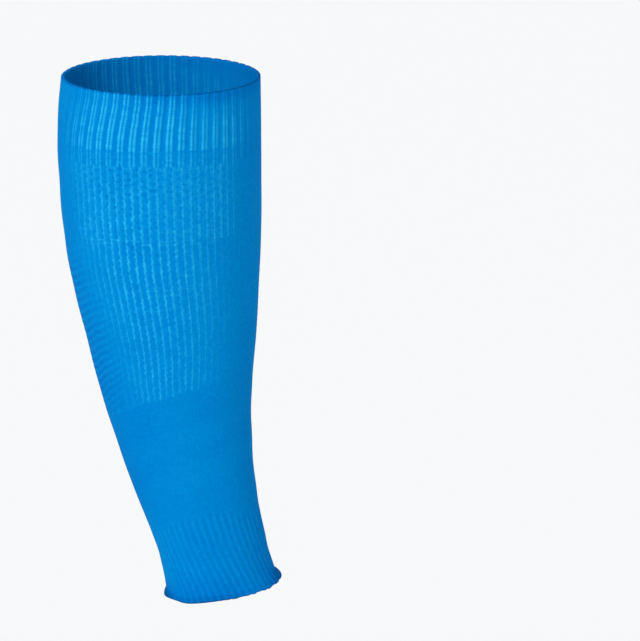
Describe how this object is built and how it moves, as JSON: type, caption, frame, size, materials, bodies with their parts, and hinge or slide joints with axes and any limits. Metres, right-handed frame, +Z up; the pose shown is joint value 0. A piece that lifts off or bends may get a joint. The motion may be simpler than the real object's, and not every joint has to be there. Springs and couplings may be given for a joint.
{
  "type": "calf compression sleeve",
  "caption": "Knitted calf compression sleeve: a tapered elastic tube with a ribbed knee cuff, mesh and plain knit down the calf and shank, and a ribbed ankle cuff with a rolled hem.",
  "frame": {"origin": "centre of the knee opening, at the top edge of the knee cuff, where the sleeve is held round the leg below the knee", "axes": "+Z up the leg out of the knee opening, -X towards the calf muscle, +X towards the shin, +Y and -Y towards the two sides of the leg"},
  "size_m": [0.1324, 0.117, 0.3221],
  "materials": {
    "knit": "matt azure nylon and elastane knit",
    "hem": "rolled edge of the same knit, deeper blue where it curls"
  },
  "bodies": {
    "root": {"knee_cuff": "knit", "upper_calf": "knit", "lower_calf": "knit", "shank": "knit", "ankle_cuff": "knit", "ankle_hem": "hem"}
  },
  "joints": []
}
